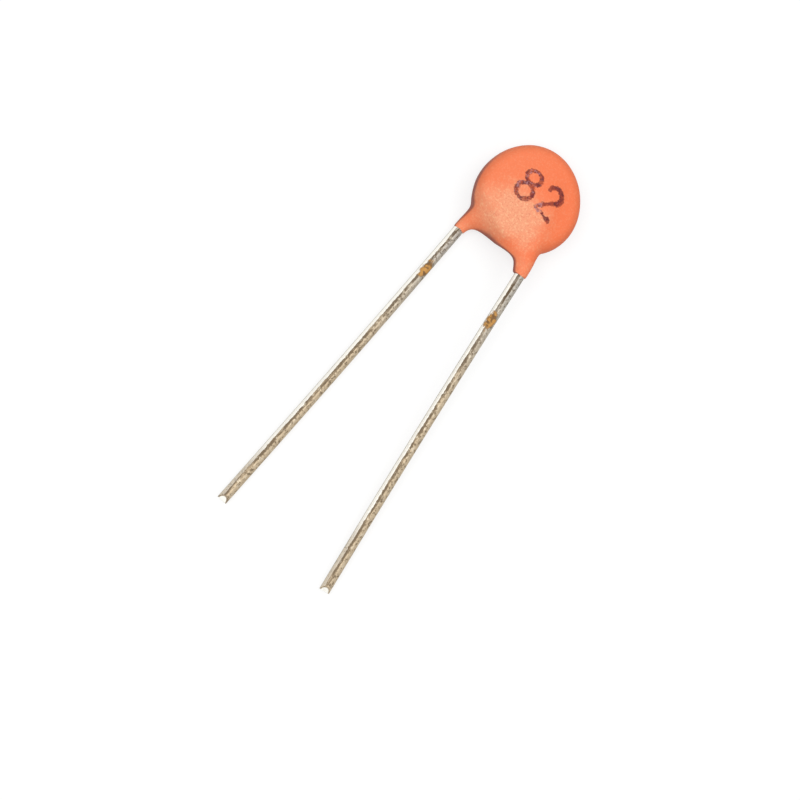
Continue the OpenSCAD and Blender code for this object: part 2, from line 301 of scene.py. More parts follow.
def lead_line(side, leads):
    """The inner end, the bend and the tip of one wire."""
    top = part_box(SIDE_NAMES[side] + "_lead")[1][2]
    root = Vector((side * leads.root_pitch / 2, DISC_LOW.y - leads.root_gap, top - WIRE_R))
    pin = PINS[SIDE_NAMES[side] + "_pin"]
    cut = (WIRE_R - leads.tip_land / 2) / math.tan(leads.tip_cut)
    tip = Vector(pin["pos_m"]) + Vector(pin["axis"]) * (pin["dims"]["length_mm"] * MM / 2 + cut)
    lean = leads.left_lean if side == LEFT else leads.right_lean
    rise = DISC_CENTRE.y + leads.reach - root.y
    inner = root + Vector((-side * rise * math.tan(lean), rise, 0.0))
    return inner, root, tip


def wire_path(side, leads):
    """Points along the middle of one wire, from its inner end to its tip."""
    inner, root, tip = lead_line(side, leads)
    bow = leads.left_bow if side == LEFT else leads.right_bow
    start = root + (inner - root).normalized() * BEND_REACH
    after = root + (tip - root).normalized() * BEND_REACH
    points = [inner.lerp(start, k / DISC_STEPS) for k in range(DISC_STEPS)]
    for k in range(BEND_STEPS + 1):
        t = k / BEND_STEPS
        points.append(start * (1 - t) ** 2 + root * 2 * t * (1 - t) + after * t * t)
    for k in range(1, LEAD_STEPS + 1):
        t = k / LEAD_STEPS
        sag = 4 * t * (1 - t) * bow
        points.append(after.lerp(tip, t) + Vector((-side * sag, 0, 0)))
    return points


def tin_swell(place, seed):
    """How far the tinning falls short of its full thickness at a place: 0 or less."""
    slow = noise.noise(place / TIN_WAVE + seed)
    fine = noise.noise(place / TIN_RIPPLE - seed)
    return min(0.7 * slow + 0.3 * fine, 0.0)


def build_wire(side, leads):
    """A round wire swept along its path, a little uneven, with a pinched tip."""
    path = wire_path(side, leads)
    last = len(path) - 1
    frames = []
    for i, point in enumerate(path):
        along = (path[min(i + 1, last)] - path[max(i - 1, 0)]).normalized()
        across = along.cross(UP).normalized()
        frames.append((point, across, across.cross(along)))

    # A flat grid is rolled up: its X runs round the wire and its Y along it.
    bm = bmesh.new()
    bmesh.ops.create_grid(bm, x_segments=WIRE_SIDES, y_segments=last, size=0.5)
    seed = Vector((3.1 + side, 1.7, 0.4))
    for vert in bm.verts:
        turn = (vert.co.x + 0.5) * math.tau - math.pi / 2
        i = round((vert.co.y + 0.5) * last)
        point, across, up = frames[i]
        spoke = (across * math.cos(turn) + up * math.sin(turn)) * WIRE_R
        swell = tin_swell(point + spoke, seed) if 0 < i < last else 0.0
        vert.co = point + spoke * (1 + leads.waviness * swell)
    bmesh.ops.remove_doubles(bm, verts=bm.verts, dist=MERGE)
    bmesh.ops.holes_fill(bm, edges=[e for e in bm.edges if e.is_boundary], sides=0)
    pinch_tip(bm, path, leads)
    bmesh.ops.recalc_face_normals(bm, faces=bm.faces)
    mark_crisp(bm)
    return bm


def pinch_tip(bm, path, leads):
    """Cuts the two slanting faces of a nipped wire end."""
    tip = path[-1]
    along = (tip - path[-6]).normalized()
    across = along.cross(UP).normalized()
    up = across.cross(along)
    for face in (-1, 1):
        normal = Matrix.Rotation(-face * leads.tip_cut, 3, across) @ (up * face)
        cut = bmesh.ops.bisect_plane(
            bm, geom=bm.verts[:] + bm.edges[:] + bm.faces[:], dist=1e-9,
            plane_co=tip + up * face * leads.tip_land / 2, plane_no=normal, clear_outer=True)
        rim = [g for g in cut["geom_cut"] if isinstance(g, bmesh.types.BMEdge)]
        bmesh.ops.holes_fill(bm, edges=[e for e in rim if e.is_boundary], sides=0)


# ---------------------------------------------------------------- resin coat

# Lengths of the slow and the fine unevenness of the dipped skin
SKIN_WAVE = 0.9 * MM
SKIN_RIPPLE = 0.3 * MM
# How far the points of a leg's end may lie from the farthest one
END_DEPTH = 0.02 * MM


def leg_end(bm, side, leads):
    """The faces that close one leg of the coat round its wire."""
    _, root, tip = lead_line(side, leads)
    way = (tip - root).normalized()

    def reach(vert):
        return (vert.co - root).dot(way)

    farthest = max(reach(v) for v in bm.verts
                   if (v.co - root - way * reach(v)).length < 2 * WIRE_R)
    return [f for f in bm.faces
            if all(abs(reach(v) - farthest) < END_DEPTH for v in f.verts)
            and (f.calc_center_median() - root).length < 4 * WIRE_R]


def coat_skin(leads):
    """The outside of the coat's solid, with the ends of its legs closed."""
    bm = bmesh.new()
    bm.from_mesh(frame["nodes"]["resin_coat"].data)
    bmesh.ops.remove_doubles(bm, verts=bm.verts, dist=CAD_MERGE)
    ends = leg_end(bm, LEFT, leads) + leg_end(bm, RIGHT, leads)
    bmesh.ops.delete(bm, geom=ends, context="FACES_ONLY")
    skin = set(max(islands(bm), key=shell_size))
    bmesh.ops.delete(bm, geom=[f for f in bm.faces if f not in skin], context="FACES")
    bmesh.ops.holes_fill(bm, edges=[e for e in bm.edges if e.is_boundary], sides=0)
    return bm


def remeshed(bm, spacing):
    """The same form with evenly spaced points."""
    mesh = bpy.data.meshes.new("coat_form")
    bm.to_mesh(mesh)
    bm.free()
    form = bpy.data.objects.new("coat_form", mesh)
    bpy.context.scene.collection.objects.link(form)
    modifier = form.modifiers.new("Even points", "REMESH")
    modifier.mode = "VOXEL"
    modifier.voxel_size = spacing
    shape = form.evaluated_get(bpy.context.evaluated_depsgraph_get())
    result = bmesh.new()
    result.from_mesh(shape.to_mesh())
    shape.to_mesh_clear()
    bpy.data.objects.remove(form)
    bpy.data.meshes.remove(mesh)
    return result


def build_coat(coat, leads):
    """The outside of the resin: smooth, slightly uneven, and inside its CAD solid."""
    bm = remeshed(coat_skin(leads), coat.voxel)
    for _ in range(coat.smoothing):
        bmesh.ops.smooth_vert(bm, verts=bm.verts, factor=0.5,
                              use_axis_x=True, use_axis_y=True, use_axis_z=True)
    bm.normal_update()
    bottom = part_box("resin_coat")[0][2]
    for vert in bm.verts:
        slow = noise.noise(vert.co / SKIN_WAVE)
        fine = noise.noise(vert.co / SKIN_RIPPLE + Vector((5, 2, 8)))
        vert.co -= vert.normal * coat.ripple * (0.5 + 0.5 * slow + 0.2 * fine)
        vert.co.z = max(vert.co.z, bottom)
    return bm


# ---------------------------------------------------------------- node helpers


class Nodes:
    """Short ways to add and join shader nodes in one tree."""

    def __init__(self, tree):
        self.tree = tree

    def add(self, kind, inputs=(), **settings):
        node = self.tree.nodes.new(kind)
        for key, value in settings.items():
            setattr(node, key, value)
        for key, value in dict(inputs).items():
            self.put(node.inputs[key], value)
        return node

    def put(self, socket, value):
        if isinstance(value, bpy.types.NodeSocket):
            self.tree.links.new(value, socket)
        else:
            socket.default_value = value

    def math(self, operation, a, b=0.0, clamp=False):
        node = self.add("ShaderNodeMath", operation=operation, use_clamp=clamp)
        self.put(node.inputs[0], a)
        self.put(node.inputs[1], b)
        return node.outputs[0]

    def plus(self, a, b):
        return self.math("ADD", a, b)

    def minus(self, a, b):
        return self.math("SUBTRACT", a, b)

    def times(self, a, b):
        return self.math("MULTIPLY", a, b)

    def larger(self, a, b):
        return self.math("MAXIMUM", a, b)

    def smaller(self, a, b):
        return self.math("MINIMUM", a, b)

    def step(self, value, low, high, a=0.0, b=1.0):
        """Smoothly from a to b as value goes from low to high."""
        node = self.add("ShaderNodeMapRange", interpolation_type="SMOOTHSTEP")
        for key, entry in (("Value", value), ("From Min", low), ("From Max", high),
                           ("To Min", a), ("To Max", b)):
            self.put(node.inputs[key], entry)
        return node.outputs["Result"]

    def mix(self, factor, a, b):
        node = self.add("ShaderNodeMix", data_type="RGBA")
        self.put(node.inputs["Factor"], factor)
        self.put(node.inputs[6], a)
        self.put(node.inputs[7], b)
        return node.outputs[2]

    def noise(self, vector, scale, detail=2.0, roughness=0.5, out="Fac"):
        node = self.add("ShaderNodeTexNoise", {
            "Vector": vector, "Scale": scale, "Detail": detail, "Roughness": roughness})
        return node.outputs[out]

    def vector(self, operation, a, b=(0.0, 0.0, 0.0)):
        """A vector worked out from one or two others."""
        node = self.add("ShaderNodeVectorMath", operation=operation)
        self.put(node.inputs[0], a)
        self.put(node.inputs[1], b)
        return node.outputs[0]

    def number(self, operation, a, b=(0.0, 0.0, 0.0)):
        """A number worked out from one or two vectors."""
        return self.vector(operation, a, b).node.outputs[1]

    def scaled(self, vector, factor):
        """A vector times a number."""
        scaled = self.vector("SCALE", vector)
        self.put(scaled.node.inputs["Scale"], factor)
        return scaled

    def xyz(self, vector):
        """The three parts of a vector."""
        return self.add("ShaderNodeSeparateXYZ", {"Vector": vector}).outputs

    def group(self, tree, inputs):
        return self.add("ShaderNodeGroup", inputs, node_tree=tree)

    def bump(self, shader, height, strength, distance):
        """Feeds a shader's normal with a height."""
        node = self.add("ShaderNodeBump", {
            "Height": height, "Strength": strength, "Distance": distance})
        self.put(shader.inputs["Normal"], node.outputs["Normal"])


def rgba(colour):
    return (*colour, 1.0)


def in_mm(place):
    """A place on the part in millimetres, as the materials read it."""
    return tuple(value / MM for value in place)


def new_group(name, inputs, outputs):
    """An empty node group with named sockets, its Nodes, its input node and its output node."""
    tree = bpy.data.node_groups.new(name, "ShaderNodeTree")
    for label, kind in inputs:
        tree.interface.new_socket(label, in_out="INPUT", socket_type="NodeSocket" + kind)
    for label, kind in outputs:
        tree.interface.new_socket(label, in_out="OUTPUT", socket_type="NodeSocket" + kind)
    n = Nodes(tree)
    return tree, n, n.add("NodeGroupInput").outputs, n.add("NodeGroupOutput").inputs


def new_material(name):
    """A material, its Nodes, its shader, and the place on the part in millimetres."""
    material = bpy.data.materials.new(name)
    material.use_nodes = True
    n = Nodes(material.node_tree)
    shader = material.node_tree.nodes["Principled BSDF"]
    place = n.add("ShaderNodeTexCoord").outputs["Object"]
    return material, n, shader, n.scaled(place, 1 / MM)


# ---------------------------------------------------------------- shared effects


def grain_group():
    """Fine grain: a height, a mask of pale specks and a mask of dark ones."""
    tree, n, given, result = new_group(
        "Fine grain", [("Place", "Vector"), ("Scale", "Float")],
        [("Height", "Float"), ("Pale", "Float"), ("Dark", "Float")])
    place = n.scaled(given["Place"], given["Scale"])
    fine = n.noise(place, 9.0, detail=3.0, roughness=0.7)
    coarse = n.noise(place, 3.5)
    pale = n.noise(place, 10.0, detail=3.0, roughness=0.75)
    dark = n.noise(place, 11.0, detail=3.0, roughness=0.75)
    n.put(result["Height"], n.plus(n.times(fine, 0.6), n.times(coarse, 0.4)))
    n.put(result["Pale"], n.step(pale, 0.50, 0.62))
    n.put(result["Dark"], n.step(dark, 0.47, 0.36))
    return tree


def stroke_group():
    """How far a place is from a straight stroke between two points of the face."""
    tree, n, given, result = new_group(
        "Stroke", [("Place", "Vector"), ("From", "Vector"), ("To", "Vector")],
        [("Distance", "Float")])
    reach = n.vector("SUBTRACT", given["To"], given["From"])
    here = n.vector("SUBTRACT", given["Place"], given["From"])
    share = n.math("DIVIDE", n.number("DOT_PRODUCT", here, reach),
                   n.number("DOT_PRODUCT", reach, reach), clamp=True)
    n.put(result["Distance"], n.number("DISTANCE", here, n.scaled(reach, share)))
    return tree


def ring_group():
    """How far a place is from an oval ring."""
    tree, n, given, result = new_group(
        "Ring", [("Place", "Vector"), ("Centre", "Vector"), ("Width", "Float"), ("Height", "Float")],
        [("Distance", "Float")])
    x, y, _ = n.xyz(n.vector("SUBTRACT", given["Place"], given["Centre"]))
    oval = n.math("DIVIDE", given["Width"], given["Height"])
    rounded = n.add("ShaderNodeCombineXYZ", {"X": x, "Y": n.times(y, oval)})
    from_centre = n.number("LENGTH", rounded.outputs[0])
    radius = n.math("DIVIDE", given["Width"], 2.0)
    n.put(result["Distance"], n.math("ABSOLUTE", n.minus(from_centre, radius)))
    return tree


GROUPS = {}


def shared(maker):
    """A node group that is built once."""
    if maker.__name__ not in GROUPS:
        GROUPS[maker.__name__] = maker()
    return GROUPS[maker.__name__]


# ---------------------------------------------------------------- resin and its number

# The stamped 8 and 2, in millimetres on the face from the centre of the disc: ovals as
# (centre, width, height, half the stroke) and strokes as (from, to, half the stroke)
OVALS = (((-0.44, 0.835, 0), 0.73, 0.60, 0.115), ((-0.48, 0.09, 0), 0.82, 0.75, 0.11))
STROKES = (
    ((0.46, 0.80, 0), (0.45, 0.93, 0), 0.095), ((0.45, 0.93, 0), (0.60, 1.07, 0), 0.095),
    ((0.60, 1.07, 0), (0.82, 1.07, 0), 0.105), ((0.82, 1.07, 0), (1.05, 0.93, 0), 0.11),
    ((1.05, 0.93, 0), (1.17, 0.70, 0), 0.13), ((1.17, 0.70, 0), (1.12, 0.53, 0), 0.14),
    ((1.12, 0.53, 0), (0.92, 0.37, 0), 0.12), ((0.92, 0.37, 0), (0.55, 0.09, 0), 0.10),
    ((0.55, 0.09, 0), (0.37, -0.16, 0), 0.11), ((0.36, -0.20, 0), (0.52, -0.27, 0), 0.085),
    ((0.62, -0.21, 0), (0.66, -0.22, 0), 0.035), ((0.76, -0.29, 0), (0.77, -0.29, 0), 0.065),
    ((0.89, -0.33, 0), (0.98, -0.37, 0), 0.055), ((1.08, -0.39, 0), (1.18, -0.44, 0), 0.115))
# Farther from any stroke than a place on the face can be
FAR_OFF = 9.0
# How far the strokes waver, and how ragged their edges are, both in millimetres
INK_WAVER = 0.12
INK_RAGGED = 0.16
# The most worn corner of the 2
WORN_CORNER = (0.40, -0.18, 0.85)

# Places on the coat, in millimetres from the centre of the disc: the middle of the painted sheen on
# the speckled skin, how much each way counts towards its reach, and the lines where the painted light
# on the left, the painted shade under the web, the sheen on the legs and the painted shade beside the
# right leg start and are complete
FAN_CENTRE = (-0.25, -1.15, 0.55)
FAN_SPREAD = (0.54, 0.72, 0.0)
FAN_REACH = (1.25, 0.35)
PAINTED_LIGHT_X = (1.6, -2.2)
WEB_Y = (-1.2, -1.9)
LEGS_Y = (-2.1, -2.7)
RIGHT_LEG_Y = (-2.0, -2.4)
RIGHT_LEG_X = (0.6, 1.1)
FRONT_Z = (0.4, 0.5)
# The way that the side of the rim with the painted shade faces, and the way that its slope is measured
# from
DOWN_THE_LEADS = (-0.68, -0.68, -0.27)
FACE_WAY = (-0.151, -0.21, 0.966)
# How dark the painted shade on the rim gets, how rough the skin is at the bottom and the top of its
# grain, and how high that grain stands
PAINTED_SHADE_DARKNESS = 0.88
SKIN_ROUGHNESS = (0.52, 0.66)
SKIN_GRAIN = 0.018 * MM


def ink_mask(n, face):
    """1 in the ink of the number and 0 outside it, with broken, uneven edges."""
    waver = n.vector("SUBTRACT", n.noise(face, 5.0, out="Color"), (0.5, 0.5, 0.5))
    moved = n.vector("ADD", face, n.scaled(waver, INK_WAVER))
    place = n.vector("MULTIPLY", moved, (1.0, 1.0, 0.0))
    distance = FAR_OFF
    for centre, width, height, half in OVALS:
        oval = n.group(shared(ring_group), {
            "Place": place, "Centre": centre, "Width": width, "Height": height})
        distance = n.smaller(n.minus(oval.outputs[0], half), distance)
    for begin, finish, half in STROKES:
        line = n.group(shared(stroke_group), {"Place": place, "From": begin, "To": finish})
        distance = n.smaller(n.minus(line.outputs[0], half), distance)
    ragged = n.times(n.minus(n.noise(face, 12.0, detail=3.0), 0.5), INK_RAGGED)
    return n.step(n.plus(distance, ragged), -0.04, 0.03, 1.0, 0.0)


def ink_cover(n, face, z, wear):
    """How much ink covers the skin: none off the number or on the rear, less where it is worn."""
    front = n.step(z, *FRONT_Z)
    thin = n.plus(n.noise(face, 9.0, detail=3.0, roughness=0.7), n.times(wear, 0.7))
    return n.times(n.times(ink_mask(n, face), front), n.step(thin, 0.50, 0.74, 0.97, 0.62))


def ink_colour(n, face, wear, mark):
    """Dark ink, brown in places, greyish where it is worn, with darker cores."""
    tone = n.step(n.noise(face, 2.6), 0.42, 0.60)
    ink = n.mix(tone, rgba(mark.colour), rgba(mark.warm))
    patches = n.plus(n.noise(face, 6.0, detail=3.0, roughness=0.7), wear)
    start = 0.75 - 0.25 * mark.wear
    worn = n.step(patches, start, start + 0.09, 0.0, 0.85)
    ink = n.mix(worn, ink, rgba(mark.bloom))
    cores = n.step(n.noise(face, 7.5, detail=3.0, roughness=0.75), 0.52, 0.60, 0.0, 0.85)
    return n.mix(cores, ink, rgba(mark.core))


def painted_sheen_and_speckle(n, face, y, drift):
    """How much painted sheen the skin gets and how thick its specks and grain are: most above the web,
    and a little on the legs.
    """
    from_fan = n.vector("MULTIPLY", n.vector("SUBTRACT", face, FAN_CENTRE), FAN_SPREAD)
    above_web = n.step(n.plus(n.number("LENGTH", from_fan), drift), *FAN_REACH)
    return n.larger(above_web, n.step(y, *LEGS_Y, 0.0, 0.3))


def skin_colour(n, x, sheen_and_speckle, drift, grain, coat):
    """Resin painted paler towards the left as if lit from there, with painted sheen where the mask
    says, and with specks and pits.
    """
    # Painted light: the left side is made paler, as if lit from there
    painted_light_left = n.step(n.plus(x, n.times(drift, 2.0)), *PAINTED_LIGHT_X, 0.0, 0.12)
    skin = n.mix(painted_light_left, rgba(coat.colour), rgba(coat.pale))
    # Painted sheen: the pale skin between the legs stands in for light caught on its slope
    skin = n.mix(n.times(sheen_and_speckle, 0.85), skin, rgba(coat.pale))
    more = n.times(sheen_and_speckle, 0.50)
    skin = n.mix(n.times(grain["Pale"], n.plus(0.12, more)), skin, rgba(coat.speck))
    return n.mix(n.times(grain["Dark"], n.plus(0.20, more)), skin, rgba(coat.pit))


def painted_rim_shade(n, x, y):
    """How dark the painted shade on the rim is: on the side that faces down the leads, under the web
    and beside the right leg.
    """
    normal = n.add("ShaderNodeTexCoord").outputs["Normal"]
    towards = n.step(n.number("DOT_PRODUCT", normal, DOWN_THE_LEADS), 0.10, 0.80)
    steep = n.minus(1.0, n.number("DOT_PRODUCT", normal, FACE_WAY))
    web = n.step(y, *WEB_Y, 0.0, 0.18)
    right_leg = n.times(n.step(y, *RIGHT_LEG_Y, 0.0, 0.18), n.step(x, *RIGHT_LEG_X))
    steep = n.plus(steep, n.plus(web, right_leg))
    return n.times(towards, n.step(steep, 0.48, 0.68, 0.0, PAINTED_SHADE_DARKNESS))


def resin_material(coat, mark):
    """Dipped resin with a fine grain, a paler left side and sheen painted on as light, painted shade
    on the rim and the stamped number.
    """
    material, n, shader, place = new_material("Dipped resin")
    face = n.vector("SUBTRACT", place, in_mm(DISC_CENTRE))
    x, y, z = n.xyz(face)
    grain = n.group(shared(grain_group), {"Place": face, "Scale": 1.0}).outputs
    drift = n.times(n.minus(n.noise(face, 1.3, detail=3.0), 0.5), 0.9)
    sheen_and_speckle = painted_sheen_and_speckle(n, face, y, drift)
    skin = skin_colour(n, x, sheen_and_speckle, drift, grain, coat)
    # Painted shade on the rim that faces down the leads
    skin = n.mix(painted_rim_shade(n, x, y), skin, rgba(coat.painted_shade))

    near_corner = n.step(n.number("DISTANCE", face, WORN_CORNER), 0.45, 0.2, 0.0, 0.20)
    wear = n.plus(near_corner, n.step(x, 0.25, -0.5, 0.0, 0.12))
    ink = ink_colour(n, face, wear, mark)
    n.put(shader.inputs["Base Color"], n.mix(ink_cover(n, face, z, wear), skin, ink))
    n.put(shader.inputs["Roughness"], n.step(grain["Height"], 0.3, 0.7, *SKIN_ROUGHNESS))
    n.put(shader.inputs["Specular IOR Level"], 0.3)
    height = n.times(grain["Height"], n.plus(0.7, n.times(sheen_and_speckle, 0.9)))
    n.bump(shader, height, 0.6, SKIN_GRAIN)
    return material


# ---------------------------------------------------------------- tinned wire

# The amber residue: how far along each lead it lies from the bend, in millimetres, how far
# round the wire, in degrees, and how far it reaches both ways
RESIDUE_AT = {LEFT: 2.9, RIGHT: 3.15}
RESIDUE_TURN = {LEFT: -8.0, RIGHT: 14.0}
RESIDUE_REACH = 0.46
RESIDUE_WRAP = 56.0
RESIDUE_RAGGED = 1.3
# Where the painted strips along the wire start and end: a dark reflection, a highlight and a grey
# reflection at its edge, and how far their edges waver, in degrees round it from its top towards -X
DARK_FROM = (-8.0, 10.0)
DARK_TO = (36.0, 30.0)
HIGHLIGHT_FROM = (29.0, 35.0)
HIGHLIGHT_TO = (82.0, 72.0)
FLANK_FROM = (74.0, 84.0)
STRIP_WAVER = 40.0
# Where the tin turns dull, the painted dark reflection strip is at its darkest and the painted
# highlight strip fades, in millimetres along the wire from its bend
DULL_FROM = (1.0, 8.0)
DARKEST_TO = (3.0, 1.6)
HIGHLIGHT_END = (15.6, 13.5)
# How far from its axis the cut tip of the wire takes the bright highlight colour, in millimetres
CUT_FACE = (0.21, 0.17)
# How rough the tin is, how much the painted dark strip and the pits add, and how high its streaks
# stand
TIN_ROUGHNESS = 0.50
DARK_STRIP_AND_PIT_ROUGHNESS = 0.25
TIN_GRAIN = 0.008 * MM


def tin_colour(n, along, angle, streaks, mottle, fine, leads):
    """Tin that is dull and warmer further down, with a painted dark reflection strip and pits, bright
    flecks, a painted highlight strip and a painted grey reflection at its edge, and a mask of the dark
    strip and the pits."""
    waver = n.minus(n.plus(n.times(streaks, 0.6), n.times(fine, 0.6)), 0.6)
    bent = n.plus(angle, n.times(waver, STRIP_WAVER))
    metal = n.mix(n.step(along, *DULL_FROM), rgba(leads.tin), rgba(leads.dull))
    # Painted reflection: a dark strip along the wire stands in for dark surroundings mirrored in it
    dark = n.times(n.step(bent, *DARK_FROM), n.step(bent, *DARK_TO))
    dark = n.times(dark, n.step(streaks, 0.34, 0.52, 0.35, 1.0))
    depth = n.step(along, *DARKEST_TO, 0.8, 1.0)
    pits = n.times(n.step(fine, 0.51, 0.60), 0.75)
    metal = n.mix(n.larger(n.times(dark, depth), pits), metal, rgba(leads.dark_reflection_and_pits))
    metal = n.mix(n.step(mottle, 0.46, 0.36, 0.0, 0.55), metal, rgba(leads.fleck))
    # Painted highlight: a near-white strip along the wire stands in for a lamp mirrored in it
    clean = n.times(n.step(bent, *HIGHLIGHT_FROM), n.step(angle, *HIGHLIGHT_TO))
    clean = n.times(clean, n.step(along, *HIGHLIGHT_END, 0.3, 1.0))
    metal = n.mix(n.times(clean, 0.95), metal, rgba(leads.clean))
    # Painted reflection: a grey line along the wire's edge towards -X stands in for the shaded floor
    # mirrored there
    metal = n.mix(n.step(angle, *FLANK_FROM, 0.0, 0.8), metal, rgba(leads.flank))
    return metal, n.larger(dark, pits)


def residue(n, side, place, along, angle, fine, leads):
    """Amber flux where the resin once reached: its mask and its colour."""
    off = n.math("DIVIDE", n.minus(along, RESIDUE_AT[side]), RESIDUE_REACH)
    turn = n.math("DIVIDE", n.minus(angle, RESIDUE_TURN[side]), RESIDUE_WRAP)
    blot = n.noise(place, 3.2, detail=3.0, roughness=0.6)
    ragged = n.times(n.minus(n.plus(fine, blot), 1.0), RESIDUE_RAGGED)
    edge = n.plus(n.math("SQRT", n.plus(n.times(off, off), n.times(turn, turn))), ragged)
    old = n.larger(n.step(edge, 0.50, 0.95, 0.0, 0.45), n.step(blot, 0.47, 0.57, 0.0, 0.85))
    return n.step(edge, 1.12, 0.80), n.mix(old, rgba(leads.residue), rgba(leads.old_residue))


def wire_material(side, leads):
    """Tinned wire with painted highlight and reflection strips, dark pits, a cut tip in the bright
    highlight colour and amber residue.
    """
    material, n, shader, place = new_material(SIDE_NAMES[side].capitalize() + " tinned wire")
    _, root, tip = lead_line(side, leads)
    way = (tip - root).normalized()
    turned = n.add("ShaderNodeMapping", {
        "Vector": place, "Rotation": (0.0, 0.0, -math.atan2(way.x, -way.y)),
        "Location": (7.0 * side, 0.0, 0.0)}).outputs["Vector"]
    streaks = n.noise(n.vector("MULTIPLY", turned, (6.0, 0.8, 6.0)), 1.2, detail=4.0, roughness=0.65)
    mottle = n.noise(n.vector("MULTIPLY", turned, (5.0, 2.6, 5.0)), 1.4, detail=4.0, roughness=0.7)
    fine = n.noise(n.vector("MULTIPLY", turned, (1.1, 0.8, 1.1)), 8.0, detail=3.0, roughness=0.75)

    # Distance along the wire from its bend, and angle round it in degrees from its top towards -X
    along = n.number("DOT_PRODUCT", n.vector("SUBTRACT", place, in_mm(root)), tuple(way))
    normal = n.add("ShaderNodeTexCoord").outputs["Normal"]
    flank = n.number("DOT_PRODUCT", normal, (way.y, -way.x, 0.0))
    angle = n.math("DEGREES", n.math("ARCTAN2", flank, n.xyz(normal)["Z"]))

    metal, dark_reflection_and_pits = tin_colour(n, along, angle, streaks, mottle, fine, leads)
    nipped = n.step(n.number("DOT_PRODUCT", normal, tuple(way)), 0.25, 0.45)
    from_axis = n.vector("CROSS_PRODUCT", n.vector("SUBTRACT", place, in_mm(tip)), tuple(way))
    core = n.step(n.number("LENGTH", from_axis), *CUT_FACE)
    # The cut tip takes the painted highlight colour
    metal = n.mix(n.times(nipped, core), metal, rgba(leads.clean))
    amber, flux = residue(n, side, place, along, angle, fine, leads)
    n.put(shader.inputs["Base Color"], n.mix(amber, metal, flux))
    n.put(shader.inputs["Metallic"], n.minus(1.0, amber))
    rough = n.plus(TIN_ROUGHNESS, n.times(dark_reflection_and_pits, DARK_STRIP_AND_PIT_ROUGHNESS))
    n.put(shader.inputs["Roughness"], rough)
    n.bump(shader, n.plus(streaks, n.times(mottle, 0.5)), 0.25, TIN_GRAIN)
    return material


# ---------------------------------------------------------------- hidden pieces

# How high the grain of a hidden piece stands, and how much darker and rougher it gets
HIDDEN_GRAIN = 0.01 * MM
HIDDEN_SHADE = 0.72
HIDDEN_ROUGHER = 0.15
# Name, nodes, colour, metallic, roughness and scale of the grain of each finish
HIDDEN_FINISHES = (
    ("Fired ceramic", ("ceramic_disc",), (0.64, 0.57, 0.42), 0.0, 0.6, 1.5),
    ("Fired silver", ("front_electrode", "rear_electrode"), (0.72, 0.71, 0.68), 1.0, 0.4, 2.5),
    ("Solder", ("front_solder", "rear_solder"), (0.48, 0.49, 0.50), 1.0, 0.35, 1.0),
)


def plain_material(name, colour, metallic, roughness, grain_scale):
    """A hidden piece's own finish: one colour, mottled, with a fine grain."""
    material, n, shader, place = new_material(name)
    height = n.group(shared(grain_group), {"Place": place, "Scale": grain_scale}).outputs["Height"]
    darker = tuple(HIDDEN_SHADE * part for part in colour)
    n.put(shader.inputs["Base Color"], n.mix(height, rgba(darker), rgba(colour)))
    n.put(shader.inputs["Metallic"], metallic)
    rough = n.step(height, 0.2, 0.8, roughness, roughness + HIDDEN_ROUGHER)
    n.put(shader.inputs["Roughness"], rough)
    n.bump(shader, height, 0.4, HIDDEN_GRAIN)
    return material


# ---------------------------------------------------------------- stage

FLOOR_SIZE = 2.0
# How bright the floor is of itself, to what looks at it straight, and how bright the sky is
FLOOR_GLOW = 0.71
SKY_LIGHT = 0.56
# Name, place, width and power in watts of each lamp, and the place that they point at
LAMPS = (
    ("key", (-0.11, -0.07, 0.32), 0.28, 0.49),
    ("fill", (0.08, 0.15, 0.30), 0.25, 0.21),
)
LAMPS_AIM = (0.0, 0.004, 0.0)
# How far the disc lies right of and above the middle of the view, the width of the camera's
# sensor, both in millimetres, the way that it leans, and what it can see between
DISC_IN_VIEW = (5.765, 9.075)
SENSOR = 36.0
TILT_TOWARDS = Vector((-0.584, -0.812, 0.0))
NEAREST, FARTHEST = 0.01, 10.0


def seen_straight(n):
    """1 for rays from the camera or off a mirror or through glass, and 0 for other light."""
    path = n.add("ShaderNodeLightPath").outputs
    return n.larger(path["Is Camera Ray"],
                    n.larger(path["Is Glossy Ray"], path["Is Transmission Ray"]))


def build_floor(stage):
    """A pale matt floor that the part lies on."""
    material, n, shader, _ = new_material("Pale floor")
    n.put(shader.inputs["Base Color"], rgba(stage.floor_colour))
    n.put(shader.inputs["Roughness"], 0.9)
    n.put(shader.inputs["Specular IOR Level"], 0.0)
    glow = n.add("ShaderNodeEmission", {
        "Color": (1.0, 1.0, 1.0, 1.0), "Strength": n.times(seen_straight(n), FLOOR_GLOW)})
    both = n.add("ShaderNodeAddShader")
    n.put(both.inputs[0], shader.outputs[0])
    n.put(both.inputs[1], glow.outputs[0])
    n.put(material.node_tree.nodes["Material Output"].inputs["Surface"], both.outputs[0])
    bm = bmesh.new()
    bmesh.ops.create_grid(bm, x_segments=1, y_segments=1, size=FLOOR_SIZE)
    bmesh.ops.translate(bm, verts=bm.verts, vec=(0.0, 0.0, CAD_BOX[0][2]))
    finished("floor", bm, material, smooth=False)


def build_lamps():
    """Two soft round lamps."""
    for name, place, width, power in LAMPS:
        light = bpy.data.lights.new(name, "AREA")
        light.shape = "DISK"
        light.size = width
        light.energy = power
        lamp = bpy.data.objects.new(name, light)
        lamp.location = place
        aim = Vector(LAMPS_AIM) - Vector(place)
        lamp.rotation_euler = aim.to_track_quat("-Z", "Y").to_euler()
        bpy.context.scene.collection.objects.link(lamp)


